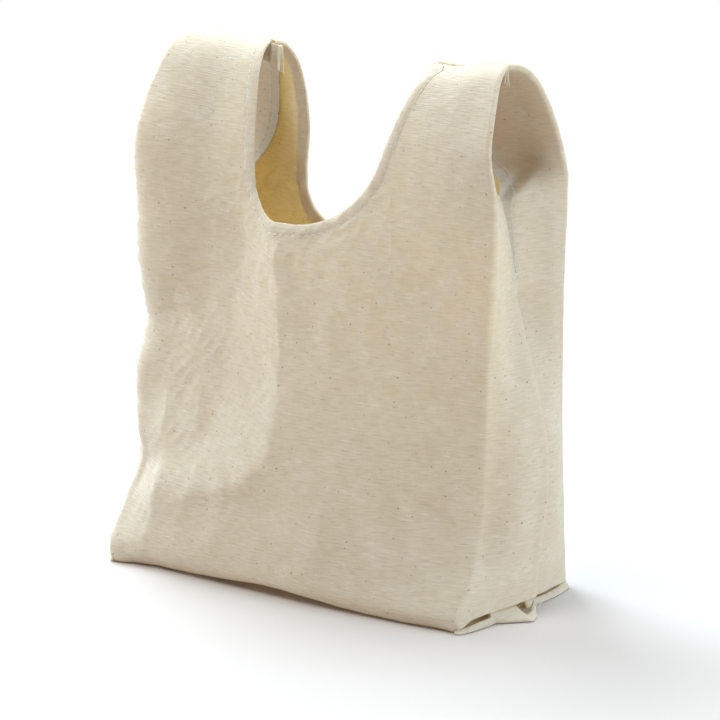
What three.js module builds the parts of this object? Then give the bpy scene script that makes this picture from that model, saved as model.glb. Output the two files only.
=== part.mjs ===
// A cotton shopping bag that stands by itself. The front and the back are two cloth pieces. Each is folded
// at its side edges into half a gusset. The pieces are sewn together at the gusset centres and along the
// base, and their side strips run on upwards, folded double, to meet over the opening as two handles.
// Millimetres, +Z up, the front faces -Y, and the origin lies under the middle of the base.
import * as THREE from 'three';

// Body of the bag
const BODY_WIDTH = 280;
const BASE_DEPTH = 118;
const UPPER_DEPTH = 75;
const BACK_LEAN = 9;
const BACK_LEAN_HEIGHT = 200;
const FLARE_HEIGHT = 55;
const FLARE_POWER = 1.4;

// The soft swell of the panels: both bow out along the base, and the front has a belly beside a hollow
const FOOT_BOW = 12.5;
const BELLY = 39;
const BELLY_HEIGHT = 45;
const BELLY_FLAT = 20;
const BELLY_POWER = 1.8;
const HOLLOW_WIDTH = 52;
const RISE_WIDTH = 50;
const RISE_HEIGHT = 95;
const HOLLOW_EDGE = 34;

// Gussets: they swell outwards low down and fold inwards near the top of the side seam
const GUSSET_SWELL = 16;
const GUSSET_FOLD_IN = 9;
const GUSSET_LIP = 24;
const GUSSET_LIFT = 12;
const SEAM_TOP_BELOW_NECK = 33;

// Opening and handles
const NECK_BOTTOM = 227.5;
const NECK_FLAT = 20;
const NECK_RADIUS = 42;
const NECK_TOP_WIDTH = 138;
const KINK_ABOVE_NECK = 34.5;
const ARCH_RISE = 68;
const STRAP_TAPER = 16;
const LINING_WIDTH = 57;
const LINING_STAND_OFF = 12;
const LINING_TOP_GAP = 4.5;
const LIP_DEPTH = 6;
const LIP_BELOW_KINK = 8;
const LINING_ABOVE_KINK = 22;

// Cloth and sewing
const CLOTH = 0.8;
const LAYER_GAP = 0.4;
const SEAM_GAP = 0.6;
const FOLD_RADIUS = 1.5;
const NECK_HEM = 8;
const NECK_STITCH_INSET = 6;
const SIDE_HEM = 10;
const SIDE_STITCH_INSET = 8;
const SEAM_ALLOWANCE = 10;
const SEAM_STITCH_INSET = 2;
const BASE_ALLOWANCE = 9;
const TOP_ALLOWANCE = 12;
const TUCK_OVERLAP = 6;
const EDGE_MARGIN = 2;
const THREAD = 0.6;
const BAR_TACK = 1;
const BAR_TACK_LENGTH = 9;

// The handles lean about a line along Y, and their cloth ends on a cylinder about that line
const HINGE_ABOVE_NECK = 18.5;
const SPLIT_MARGIN = 7;
const SPLIT_GAP = 1;

// Heights and places worked out from the sizes above
const HALF_WIDTH = BODY_WIDTH / 2;
const FRONT_FOOT = -BASE_DEPTH / 2;
const BACK_FOOT = BASE_DEPTH / 2;
const BACK_WALL = BACK_FOOT - BACK_LEAN;
const FRONT_WALL = BACK_WALL - UPPER_DEPTH;
const MID_DEPTH = (FRONT_WALL + BACK_WALL) / 2;
const SEAM_TOP = NECK_BOTTOM - SEAM_TOP_BELOW_NECK;
const KINK = NECK_BOTTOM + KINK_ABOVE_NECK;
const ARCH_TOP = KINK + ARCH_RISE - CLOTH / 2;
const ARCH_LENGTH = (Math.PI / 2) * Math.hypot(UPPER_DEPTH / 2, ARCH_RISE) / Math.SQRT2;
const STRAP_END = KINK + ARCH_LENGTH;
const BASE_TOP = CLOTH + LAYER_GAP;
const LAYER_STEP = CLOTH + LAYER_GAP;
const THREAD_STEP = (CLOTH + THREAD) / 2 + LAYER_GAP;

const FRONT = -1;
const BACK = 1;
const LEFT = -1;
const RIGHT = 1;

const canvas = new THREE.MeshStandardMaterial({ color: '#d6c9b0', roughness: 0.92, metalness: 0 });
const thread = new THREE.MeshStandardMaterial({ color: '#e6dcc8', roughness: 0.8, metalness: 0 });

const clamp01 = (value) => Math.min(1, Math.max(0, value));
const smooth = (value) => clamp01(value) ** 2 * (3 - 2 * clamp01(value));
function range(count, low, high) {
  return Array.from({ length: count + 1 }, (_, i) => low + ((high - low) * i) / count);
}

// A curve through [height, value] stations, with the slope at each station taken from its neighbours.
function curveThrough(stations) {
  const last = stations.length - 1;
  const slope = (i) => {
    const before = stations[Math.max(0, i - 1)];
    const after = stations[Math.min(last, i + 1)];
    return (after[1] - before[1]) / (after[0] - before[0]);
  };
  return (height) => {
    let i = 0;
    while (i < last - 1 && height > stations[i + 1][0]) i += 1;
    const span = stations[i + 1][0] - stations[i][0];
    const k = clamp01((height - stations[i][0]) / span);
    const rise = stations[i + 1][1] - stations[i][1];
    const ease = smooth(k);
    const start = slope(i) * span * k * (1 - k) ** 2;
    const end = slope(i + 1) * span * k ** 2 * (1 - k);
    return stations[i][1] + rise * ease + start - end;
  };
}

// The value between low and high where a test turns from false to true.
const HALVINGS = 40;
function turningPoint(low, high, test) {
  let no = low;
  let yes = high;
  for (let step = 0; step < HALVINGS; step += 1) {
    const middle = (no + yes) / 2;
    if (test(middle)) yes = middle;
    else no = middle;
  }
  return yes;
}

// Depth and height of a wall at cloth height t, and the tangent of the handle's arch there. Below the kink
// the cloth height is the height. Above it the two walls are quarter ellipses that meet over the middle.
function wallAt(face, t) {
  if (t > KINK) {
    const angle = ((t - KINK) / ARCH_LENGTH) * (Math.PI / 2);
    const foot = face === FRONT ? FRONT_WALL : BACK_WALL;
    const reach = MID_DEPTH + (face * SEAM_GAP) / 2 - foot;
    const rise = ARCH_TOP - KINK;
    const tangent = new THREE.Vector2(Math.abs(reach) * Math.sin(angle), rise * Math.cos(angle)).normalize();
    return { y: foot + reach * (1 - Math.cos(angle)), z: KINK + rise * Math.sin(angle), tangent };
  }
  const upright = new THREE.Vector2(0, 1);
  if (face === FRONT) {
    const flare = (FRONT_FOOT - FRONT_WALL) * clamp01(1 - t / FLARE_HEIGHT) ** FLARE_POWER;
    return { y: FRONT_WALL + flare, z: t, tangent: upright };
  }
  const lean = BACK_LEAN * clamp01(1 - t / BACK_LEAN_HEIGHT) ** FLARE_POWER;
  return { y: BACK_WALL + lean, z: t, tangent: upright };
}

// Half the width between the folded edges, which come in along the handles.
const edgeAt = (t) => HALF_WIDTH - STRAP_TAPER * clamp01((t - KINK) / ARCH_LENGTH);
const panelHalfAt = (t) => edgeAt(t) - FOLD_RADIUS;

// How far the middle of each panel swells out beyond its wall, by cloth height.
const backSwell = curveThrough([
  [0, FOOT_BOW],
  [2 * BELLY_HEIGHT, FOOT_BOW / 2],
  [KINK, 0],
]);
const frontBelly = curveThrough([
  [0, FOOT_BOW],
  [BELLY_HEIGHT / 2, 0.75 * BELLY],
  [BELLY_HEIGHT, BELLY],
  [2 * BELLY_HEIGHT, 0.8 * BELLY],
  [3 * BELLY_HEIGHT, 0.48 * BELLY],
  [SEAM_TOP, 0.17 * BELLY],
  [KINK, 0],
]);
const frontHollow = curveThrough([
  [0, FOOT_BOW],
  [BELLY_HEIGHT / 2, 0.7 * BELLY],
  [BELLY_HEIGHT, 0.7 * BELLY],
  [1.5 * BELLY_HEIGHT, 0.42 * BELLY],
  [2 * BELLY_HEIGHT, 0.13 * BELLY],
  [2.7 * BELLY_HEIGHT, 0],
  [KINK, 0],
]);

// The swell at a place u across a panel. On the front, the hollow at the upper left rises to the belly, and
// both fade out towards the folded edges.
function swellAt(face, u, t) {
  if (face === BACK) return backSwell(t) * (1 - u * u);
  const half = panelHalfAt(t);
  const x = u * half;
  const low = smooth((RISE_HEIGHT - t) / (1.5 * BELLY_HEIGHT));
  const foot = HOLLOW_WIDTH + (HALF_WIDTH - HOLLOW_WIDTH) * low;
  const rise = smooth((x + foot) / RISE_WIDTH);
  const full = frontHollow(t) + (frontBelly(t) - frontHollow(t)) * rise;
  const right = 1 - clamp01((x - BELLY_FLAT) / (half - BELLY_FLAT)) ** BELLY_POWER;
  return full * right * smooth((x + half) / HOLLOW_EDGE);
}

// How far the free or sewn edge of a half gusset lies inwards of the folded edge.
const gussetInwards = curveThrough([
  [0, -GUSSET_SWELL],
  [SEAM_TOP / 2, -GUSSET_SWELL],
  [SEAM_TOP, GUSSET_FOLD_IN],
  [KINK - LIP_BELOW_KINK, GUSSET_LIP],
  [KINK + LINING_ABOVE_KINK, LINING_WIDTH],
  [STRAP_END, LINING_WIDTH],
]);

// How far that edge lies behind its own wall. Below the top of the seam it reaches the gusset centre.
const seamDepthAt = (t) => MID_DEPTH * smooth(t / (2 * FLARE_HEIGHT));
const freeDepth = curveThrough([
  [SEAM_TOP, (UPPER_DEPTH - SEAM_GAP) / 2],
  [KINK - LIP_BELOW_KINK, UPPER_DEPTH / 2 - LIP_DEPTH],
  [KINK + LINING_ABOVE_KINK, LINING_STAND_OFF],
  [STRAP_END, LINING_TOP_GAP],
]);
const gussetDepth = (face, t) =>
  t > SEAM_TOP ? freeDepth(t) : Math.abs(seamDepthAt(t) - wallAt(face, t).y) - SEAM_GAP / 2;

// The half gusset in its own cross-section: a small round fold, then a straight run to its edge.
const FOLD_SHARE = 0.08;
function gussetSection(face, t, q) {
  const inwards = gussetInwards(t);
  const depth = gussetDepth(face, t);
  const turn = Math.atan2(depth - FOLD_RADIUS, FOLD_RADIUS - inwards);
  const onFold = (angle) => [FOLD_RADIUS * (1 - Math.sin(angle)), FOLD_RADIUS * (1 - Math.cos(angle))];
  const [startIn, startDepth] = onFold(turn);
  if (q < FOLD_SHARE) return onFold((turn * q) / FOLD_SHARE);
  const k = (q - FOLD_SHARE) / (1 - FOLD_SHARE);
  return [startIn + (inwards - startIn) * k, startDepth + (depth - startDepth) * k];
}
const gussetRun = (face, t) => Math.hypot(gussetInwards(t), gussetDepth(face, t));

// A point of the cloth. u runs from -1 to 1 across the panel and on to -2 and 2 across its half gussets.
function clothPoint(face, u, t) {
  const wall = wallAt(face, t);
  const side = Math.sign(u) || 1;
  const q = Math.abs(u) - 1;
  if (q <= 0) {
    return new THREE.Vector3(u * panelHalfAt(t), wall.y + face * swellAt(face, u, t), wall.z);
  }
  const [inwards, depth] = gussetSection(face, t, q);
  const y = wall.y - face * depth * wall.tangent.y;
  return new THREE.Vector3(side * (edgeAt(t) - inwards), y, wall.z - depth * wall.tangent.x);
}

// The same point with its outward normal.
function clothSample(face, u, t) {
  const nudge = 1e-3;
  const across = clothPoint(face, u + nudge, t).sub(clothPoint(face, u - nudge, t));
  const up = clothPoint(face, u, t + nudge).sub(clothPoint(face, u, t - nudge));
  const normal = across.cross(up).multiplyScalar(-face).normalize();
  return { point: clothPoint(face, u, t), normal };
}

// A closed sheet of the given thickness on a grid of samples, standing off the cloth by the given distance.
function sheet(grid, standOff, thickness) {
  const columns = grid.length;
  const rows = grid[0].length;
  const at = (layer, i, j) => layer * columns * rows + i * rows + j;
  const positions = [];
  for (const distance of [standOff + thickness / 2, standOff - thickness / 2]) {
    for (const { point, normal } of grid.flat()) {
      positions.push(...point.clone().addScaledVector(normal, distance).toArray());
    }
  }
  const across = grid[1][0].point.clone().sub(grid[0][0].point);
  const along = grid[0][1].point.clone().sub(grid[0][0].point);
  const flipped = across.cross(along).dot(grid[0][0].normal) < 0;
  const index = [];
  const quad = (a, b, c, d) => index.push(...(flipped ? [a, c, b, a, d, c] : [a, b, c, a, c, d]));
  for (let i = 0; i < columns - 1; i += 1) {
    for (let j = 0; j < rows - 1; j += 1) {
      quad(at(0, i, j), at(0, i + 1, j), at(0, i + 1, j + 1), at(0, i, j + 1));
      quad(at(1, i, j), at(1, i, j + 1), at(1, i + 1, j + 1), at(1, i + 1, j));
    }
    quad(at(0, i, 0), at(1, i, 0), at(1, i + 1, 0), at(0, i + 1, 0));
    quad(at(0, i, rows - 1), at(0, i + 1, rows - 1), at(1, i + 1, rows - 1), at(1, i, rows - 1));
  }
  for (let j = 0; j < rows - 1; j += 1) {
    quad(at(0, 0, j), at(0, 0, j + 1), at(1, 0, j + 1), at(1, 0, j));
    quad(at(0, columns - 1, j), at(1, columns - 1, j), at(1, columns - 1, j + 1), at(0, columns - 1, j + 1));
  }
  const geometry = new THREE.BufferGeometry();
  geometry.setAttribute('position', new THREE.Float32BufferAttribute(positions, 3));
  geometry.setIndex(index);
  return geometry;
}

// A thread: a thin tube through cloth samples, standing off the cloth.
const THREAD_SIDES = 5;
function threadAlong(samples, standOff, diameter) {
  const points = samples.map(({ point, normal }) => point.clone().addScaledVector(normal, standOff));
  const radius = diameter / 2;
  const corners = range(THREAD_SIDES, 0, 2 * Math.PI).slice(0, THREAD_SIDES);
  const outline = corners.map((a) => new THREE.Vector2(radius * Math.cos(a), radius * Math.sin(a)));
  return new THREE.ExtrudeGeometry(new THREE.Shape(outline), {
    steps: points.length - 1,
    extrudePath: new THREE.CatmullRomCurve3(points),
    bevelEnabled: false,
  });
}

// The neck edge: a flat middle, an arc at each side and a straight run up the strap that touches the arc.
const ARC_X = NECK_FLAT / 2;
const ARC_Z = NECK_BOTTOM + NECK_RADIUS;
const toTop = new THREE.Vector2(NECK_TOP_WIDTH / 2 - ARC_X, STRAP_END - ARC_Z);
const ARC_ANGLE = Math.atan2(toTop.y, toTop.x) + Math.asin(NECK_RADIUS / toTop.length());
const ARC_RUN = NECK_RADIUS * ARC_ANGLE;
const STRAIGHT_RUN = Math.sqrt(toTop.lengthSq() - NECK_RADIUS ** 2);
const NECK_RUN = ARC_X + ARC_RUN + STRAIGHT_RUN;

// Cloth place [x, t] at a distance along the neck edge from its middle, a given distance in from the edge.
function neckPlace(run, inset) {
  if (run <= ARC_X) return [run, NECK_BOTTOM - inset];
  const angle = Math.min((run - ARC_X) / NECK_RADIUS, ARC_ANGLE);
  const reach = NECK_RADIUS + inset;
  const past = Math.max(0, run - ARC_X - ARC_RUN);
  const x = ARC_X + reach * Math.sin(angle) + past * Math.cos(angle);
  return [x, ARC_Z - reach * Math.cos(angle) + past * Math.sin(angle)];
}
const neckRunAt = (t) => turningPoint(ARC_X, NECK_RUN, (run) => neckPlace(run, 0)[1] > t);
const neckHalfAt = (t) => neckPlace(neckRunAt(t), 0)[0];
const neckHeightAt = (x) => neckPlace(turningPoint(0, NECK_RUN, (run) => neckPlace(run, 0)[0] > x), 0)[1];
const sampleAt = (face, x, t) => clothSample(face, x / panelHalfAt(t), t);

// The hinge line of a handle and the cylinder that parts the strap from the panel
const HINGE_Z = NECK_BOTTOM + HINGE_ABOVE_NECK;
const HINGE_X = (neckHalfAt(HINGE_Z) + HALF_WIDTH) / 2;
const STRAP_RADIUS = HALF_WIDTH - HINGE_X + SPLIT_MARGIN;
const PANEL_RADIUS = STRAP_RADIUS + SPLIT_GAP;
const hingeDistance = (x, z) => Math.hypot(Math.abs(x) - HINGE_X, z - HINGE_Z);
const clothToHinge = (face, u, t) => {
  const point = clothPoint(face, u, t);
  return hingeDistance(point.x, point.z);
};
const splitHeight = (face, u, radius) =>
  turningPoint(HINGE_Z - 2 * radius, HINGE_Z, (t) => clothToHinge(face, u, t) < radius);

// The panel's columns stand at equal angles about the hinge line, so that the cut stays round.
const CUT_STEPS = 12;
const MIDDLE_STEPS = 4;
const HORN_X = turningPoint(ARC_X, HINGE_X, (x) => hingeDistance(x, neckHeightAt(x)) < PANEL_RADIUS);
function cutColumns(radius, steps) {
  const low = Math.asin(Math.max(-1, (HORN_X - HINGE_X) / radius));
  const high = Math.asin((panelHalfAt(0) - HINGE_X) / radius);
  return range(steps, low, high).map((angle) => HINGE_X + radius * Math.sin(angle));
}

const FOLD_COLUMNS = [FOLD_SHARE / 3, (2 * FOLD_SHARE) / 3, FOLD_SHARE];
const GUSSET_COLUMNS = [...FOLD_COLUMNS, 0.3, 0.55, 0.8, 1];
const gussetFoot = (q) => BASE_TOP + GUSSET_LIFT * q * q;

// Rows of the panel: level ones over the flare and the wall, then rows that spread out to the cut edge.
const FLARE_ROWS = 5;
const WALL_ROWS = 8;
const CUT_ROWS = 4;
const LEVEL_TOP = (FLARE_HEIGHT + HINGE_Z) / 2;
const WALL_LEVELS = range(WALL_ROWS, FLARE_HEIGHT, LEVEL_TOP);
const LEVELS = [...range(FLARE_ROWS, BASE_TOP, FLARE_HEIGHT), ...WALL_LEVELS.slice(1)];
function panelHeights(foot, top) {
  const raised = (t) => t + (foot - BASE_TOP) * (1 - (t - BASE_TOP) / (LEVEL_TOP - BASE_TOP));
  return [...LEVELS.map(raised), ...range(CUT_ROWS, LEVEL_TOP, top).slice(1)];
}

// One cloth piece of the body: the panel with a half gusset at each side, cut out for the neck and handles.
function bodyPanel(face) {
  const middle = range(MIDDLE_STEPS, 0, HORN_X).slice(1, -1);
  const across = [...middle, ...cutColumns(PANEL_RADIUS, CUT_STEPS)].map((x) => x / panelHalfAt(0));
  const half = [...across, ...GUSSET_COLUMNS.map((q) => 1 + q)];
  const columns = [...half.map((u) => -u).reverse(), 0, ...half];
  const top = (u) => {
    const x = Math.abs(u) * panelHalfAt(0);
    if (Math.abs(u) <= 1 && x <= HORN_X) return neckHeightAt(x);
    return splitHeight(face, u, PANEL_RADIUS);
  };
  const grid = columns.map((u) => {
    const foot = gussetFoot(Math.max(0, Math.abs(u) - 1));
    return panelHeights(foot, top(u)).map((t) => clothSample(face, u, t));
  });
  return sheet(grid, 0, CLOTH);
}

// Half of the base, lying flat on the floor. Its ends follow the gussets and its long edge the panel's foot.
const BASE_END_STEPS = 6;
const BASE_EDGE_STEPS = 24;
function baseHalf(face) {
  const foot = face === FRONT ? FRONT_FOOT : BACK_FOOT;
  const ends = range(BASE_END_STEPS, 0, 1).map((q) => clothPoint(face, 1 + q, BASE_TOP));
  const inner = (face * SEAM_GAP) / 2;
  const right = ends.map((p) => new THREE.Vector2(p.x, face * Math.max(face * inner, face * p.y)));
  const left = right.map((p) => new THREE.Vector2(-p.x, p.y)).reverse();
  right[0].y = foot;
  left[left.length - 1].y = foot;
  const edge = range(BASE_EDGE_STEPS, -1, 1).slice(1, -1).map((u) =>
    new THREE.Vector2(u * panelHalfAt(0), foot + face * swellAt(face, u, 0)));
  const outline = new THREE.Shape([...right, ...left, ...edge]);
  return new THREE.ExtrudeGeometry(outline, { depth: CLOTH, bevelEnabled: false });
}

// The gusset's folded-under bottom: a second layer inside its lifted lower edge, down to the base.
const TUCK_SHARES = [0.2, 0.45, 0.7, 0.92];
const TUCK_ROWS = 3;
function gussetTuck(side) {
  const heights = (q) => range(TUCK_ROWS, BASE_TOP, gussetFoot(q) + TUCK_OVERLAP);
  const half = (face) => TUCK_SHARES.map((q) => heights(q).map((t) => clothSample(face, side * (1 + q), t)));
  const centre = heights(1).map((t) => {
    const front = clothSample(FRONT, side * 2, t);
    const back = clothSample(BACK, side * 2, t);
    return {
      point: front.point.clone().lerp(back.point, 0.5),
      normal: front.normal.clone().add(back.normal).normalize(),
    };
  });
  return sheet([...half(FRONT), centre, ...half(BACK).reverse()], -LAYER_STEP, CLOTH);
}

// The turned-in hem under the neck edge between two distances along it; a negative distance is on the left.
const HEM_STEPS = 14;
function neckStrip(face, side, from, to) {
  const grid = range(HEM_STEPS, from, to).map((run) =>
    [LAYER_GAP, NECK_HEM].map((inset) => {
      const [x, t] = neckPlace(Math.abs(run), inset);
      return sampleAt(face, side * Math.sign(run || 1) * x, t);
    }));
  return sheet(grid, -LAYER_STEP, CLOTH);
}
function neckThread(face, side, from, to) {
  const samples = range(2 * HEM_STEPS, from, to).map((run) => {
    const [x, t] = neckPlace(Math.abs(run), NECK_STITCH_INSET);
    return sampleAt(face, side * Math.sign(run || 1) * x, t);
  });
  return threadAlong(samples, THREAD_STEP, THREAD);
}

// The neck edge belongs to the body up to one distance and to the handle from another, clear of the cut.
const stripDistances = (run) =>
  [0, NECK_HEM].map((inset) => neckPlace(run, inset)).map(([x, t]) => hingeDistance(x, t));
const BODY_HEM_END = turningPoint(0, NECK_RUN, (run) => Math.min(...stripDistances(run)) < PANEL_RADIUS);
const STRAP_HEM_START = turningPoint(0, NECK_RUN, (run) => Math.max(...stripDistances(run)) < STRAP_RADIUS);

// One strap of a handle: the outer layer from the neck edge to the fold, and the folded-in lining.
const STRAP_COLUMNS = 8;
const STRAP_ROWS = 12;
function strap(face, side) {
  const cuts = cutColumns(STRAP_RADIUS, STRAP_COLUMNS);
  const shares = cuts.map((x) => (x - cuts[0]) / (cuts[cuts.length - 1] - cuts[0]));
  const outer = shares.map((w) => (t) => {
    const neck = neckHalfAt(t) / panelHalfAt(t);
    return neck + (1 - neck) * w;
  });
  const lining = GUSSET_COLUMNS.map((q) => () => 1 + q);
  const grid = [...outer, ...lining].map((place) => {
    const inCut = (t) => clothToHinge(face, place(t), t) < STRAP_RADIUS;
    const foot = turningPoint(HINGE_Z - STRAP_RADIUS, HINGE_Z, inCut);
    return range(STRAP_ROWS, foot, STRAP_END).map((t) => clothSample(face, side * place(t), t));
  });
  return sheet(grid, 0, CLOTH);
}

// Strips and threads that follow the free or sewn edge of a half gusset, given by their distance from it.
const SEAM_STEPS = 18;
const SIDE_HEM_STEPS = 12;
const edgeShare = (face, t, inset) => 2 - inset / gussetRun(face, t);
function edgeStrip(face, side, heights, width) {
  const grid = heights.map((t) =>
    [width, SEAM_GAP].map((inset) => clothSample(face, side * edgeShare(face, t, inset), t)));
  return sheet(grid, -LAYER_STEP, CLOTH);
}
function edgeThread(face, side, heights, inset, standOff) {
  const samples = heights.map((t) => clothSample(face, side * edgeShare(face, t, inset), t));
  return threadAlong(samples, standOff, THREAD);
}
const sideHemStart = (face) =>
  turningPoint(SEAM_TOP, HINGE_Z, (t) =>
    [SEAM_GAP, SIDE_HEM].every((inset) => clothToHinge(face, edgeShare(face, t, inset), t) < STRAP_RADIUS));

// The seam allowance inside the top of a handle, hanging down between the linings, and its thread.
function topAllowance(side) {
  const low = NECK_TOP_WIDTH / 2 + EDGE_MARGIN;
  const high = edgeAt(STRAP_END) - EDGE_MARGIN - FOLD_RADIUS;
  const top = ARCH_TOP - LINING_TOP_GAP - CLOTH / 2 - 2 * LAYER_GAP;
  const geometry = new THREE.BoxGeometry(high - low, 2 * CLOTH, TOP_ALLOWANCE);
  geometry.translate((side * (low + high)) / 2, MID_DEPTH, top - TOP_ALLOWANCE / 2);
  const face = MID_DEPTH - CLOTH - LAYER_GAP - THREAD / 2;
  const line = [low + EDGE_MARGIN, (low + high) / 2, high - EDGE_MARGIN].map((x) => ({
    point: new THREE.Vector3(side * x, face, top - SEAM_STITCH_INSET),
    normal: new THREE.Vector3(0, 0, 1),
  }));
  return [geometry, threadAlong(line, 0, THREAD)];
}

// The seam allowance standing up along the middle of the base, and its thread.
function baseSeam() {
  const half = HALF_WIDTH - SEAM_ALLOWANCE;
  const geometry = new THREE.BoxGeometry(2 * half, 2 * CLOTH, BASE_ALLOWANCE);
  geometry.translate(0, 0, BASE_TOP + BASE_ALLOWANCE / 2);
  const line = [-half + EDGE_MARGIN, 0, half - EDGE_MARGIN].map((x) => ({
    point: new THREE.Vector3(x, -CLOTH - LAYER_GAP - THREAD / 2, BASE_TOP + SEAM_STITCH_INSET),
    normal: new THREE.Vector3(0, 0, 1),
  }));
  return [geometry, threadAlong(line, 0, THREAD)];
}

// The short bar of thread that holds the top of a side seam.
function barTack(side) {
  const t = SEAM_TOP - BAR_TACK;
  const insets = range(2, BAR_TACK_LENGTH, SEAM_GAP);
  const samples = insets.map((inset) => clothSample(BACK, side * edgeShare(BACK, t, inset), t));
  return threadAlong(samples, (CLOTH + BAR_TACK) / 2 + LAYER_GAP, BAR_TACK);
}

const body = new THREE.Group();
const handles = new Map([[LEFT, new THREE.Group()], [RIGHT, new THREE.Group()]]);
function add(group, name, geometry, material) {
  const mesh = new THREE.Mesh(geometry, material);
  mesh.name = name;
  group.add(mesh);
}

const FACES = [[FRONT, 'front'], [BACK, 'back']];
const SIDES = [[LEFT, 'left'], [RIGHT, 'right']];

for (const [face, word] of FACES) {
  add(body, `${word}_panel`, bodyPanel(face), canvas);
  add(body, `${word}_base_half`, baseHalf(face), canvas);
  add(body, `${word}_neck_hem`, neckStrip(face, RIGHT, -BODY_HEM_END, BODY_HEM_END), canvas);
  add(body, `${word}_neck_stitching`, neckThread(face, RIGHT, -BODY_HEM_END, BODY_HEM_END), thread);
}
const [baseAllowance, baseThread] = baseSeam();
add(body, 'base_seam_allowance', baseAllowance, canvas);
add(body, 'base_seam_thread', baseThread, thread);

for (const [side, word] of SIDES) {
  const seam = range(SEAM_STEPS, gussetFoot(1) + TUCK_OVERLAP + EDGE_MARGIN, SEAM_TOP - EDGE_MARGIN);
  add(body, `${word}_gusset_tuck`, gussetTuck(side), canvas);
  add(body, `${word}_side_seam_allowance`, edgeStrip(BACK, side, seam, SEAM_ALLOWANCE), canvas);
  const standOff = -LAYER_STEP - THREAD_STEP;
  add(body, `${word}_side_seam_thread`, edgeThread(BACK, side, seam, SEAM_STITCH_INSET, standOff), thread);
  add(body, `${word}_bar_tack`, barTack(side), thread);

  const handle = handles.get(side);
  for (const [face, faceWord] of FACES) {
    const name = `${word}_${faceWord}`;
    const hemTop = NECK_RUN - EDGE_MARGIN;
    const hemHeights = range(SIDE_HEM_STEPS, sideHemStart(face), STRAP_END - EDGE_MARGIN);
    add(handle, `${name}_strap`, strap(face, side), canvas);
    add(handle, `${name}_strap_neck_hem`, neckStrip(face, side, STRAP_HEM_START, hemTop), canvas);
    add(handle, `${name}_strap_neck_stitching`, neckThread(face, side, STRAP_HEM_START, hemTop), thread);
    add(handle, `${name}_strap_side_hem`, edgeStrip(face, side, hemHeights, SIDE_HEM), canvas);
    const stitching = edgeThread(face, side, hemHeights, SIDE_STITCH_INSET, THREAD_STEP);
    add(handle, `${name}_strap_side_stitching`, stitching, thread);
  }
  const [allowance, allowanceThread] = topAllowance(side);
  add(handle, `${word}_top_seam_allowance`, allowance, canvas);
  add(handle, `${word}_top_seam_thread`, allowanceThread, thread);
}

const bag = new THREE.Group();
bag.add(body, ...handles.values());

export default bag;
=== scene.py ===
"""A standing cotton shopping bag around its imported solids: cloth, hems, stitches, lights and camera."""
import math

import bpy
import numpy as np
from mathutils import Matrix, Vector


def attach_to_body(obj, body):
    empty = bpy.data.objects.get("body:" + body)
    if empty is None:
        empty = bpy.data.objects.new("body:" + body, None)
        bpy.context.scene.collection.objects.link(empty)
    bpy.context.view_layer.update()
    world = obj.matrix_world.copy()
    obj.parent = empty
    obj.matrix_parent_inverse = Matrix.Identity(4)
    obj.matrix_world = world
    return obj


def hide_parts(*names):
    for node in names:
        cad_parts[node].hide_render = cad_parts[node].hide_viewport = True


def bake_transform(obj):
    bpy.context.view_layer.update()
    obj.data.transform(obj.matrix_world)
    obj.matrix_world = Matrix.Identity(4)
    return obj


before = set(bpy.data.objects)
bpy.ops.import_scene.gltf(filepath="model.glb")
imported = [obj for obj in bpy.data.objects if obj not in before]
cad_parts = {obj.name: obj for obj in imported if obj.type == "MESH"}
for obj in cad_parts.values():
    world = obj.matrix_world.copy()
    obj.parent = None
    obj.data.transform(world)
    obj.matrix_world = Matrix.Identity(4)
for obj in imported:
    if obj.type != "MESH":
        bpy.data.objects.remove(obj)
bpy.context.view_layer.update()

# Metres in a millimetre, and the two faces and sides with their words
MM = 0.001
FRONT, BACK = -1, 1
LEFT, RIGHT = -1, 1
FACE_WORDS = {FRONT: "front", BACK: "back"}
SIDE_WORDS = {LEFT: "left", RIGHT: "right"}

# Driving sizes in millimetres that the solids are made from too
BODY_WIDTH = 280
BASE_DEPTH = 118
UPPER_DEPTH = 75
BACK_LEAN = 9
GUSSET_SWELL = 16
SEAM_TOP_BELOW_NECK = 33
NECK_BOTTOM = 227.5
KINK_ABOVE_NECK = 34.5
ARCH_RISE = 68
STRAP_TAPER = 16
FLARE_HEIGHT = 55
SEAM_GAP = 0.6
NECK_STITCH_INSET = 6
SIDE_HEM = 10
SIDE_STITCH_INSET = 8
SEAM_ALLOWANCE = 10
TOP_ALLOWANCE = 12
BAR_TACK_LENGTH = 9
# Sizes of the cloth and the thread as they are made here
CLOTH = 0.7
STITCH_PITCH = 4.3
STITCH_LENGTH = 0.82 * STITCH_PITCH
THREAD_RADIUS = 0.33

# Places worked out from the sizes
HALF_WIDTH = BODY_WIDTH / 2
BACK_WALL = BASE_DEPTH / 2 - BACK_LEAN
FRONT_WALL = BACK_WALL - UPPER_DEPTH
WALL_DEPTH = {FRONT: FRONT_WALL, BACK: BACK_WALL}
MID_DEPTH = (FRONT_WALL + BACK_WALL) / 2
SEAM_TOP = NECK_BOTTOM - SEAM_TOP_BELOW_NECK
KINK = NECK_BOTTOM + KINK_ABOVE_NECK
ARCH_LENGTH = (math.pi / 2) * math.hypot(UPPER_DEPTH / 2, ARCH_RISE) / math.sqrt(2)
STRAP_END = KINK + ARCH_LENGTH

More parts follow.
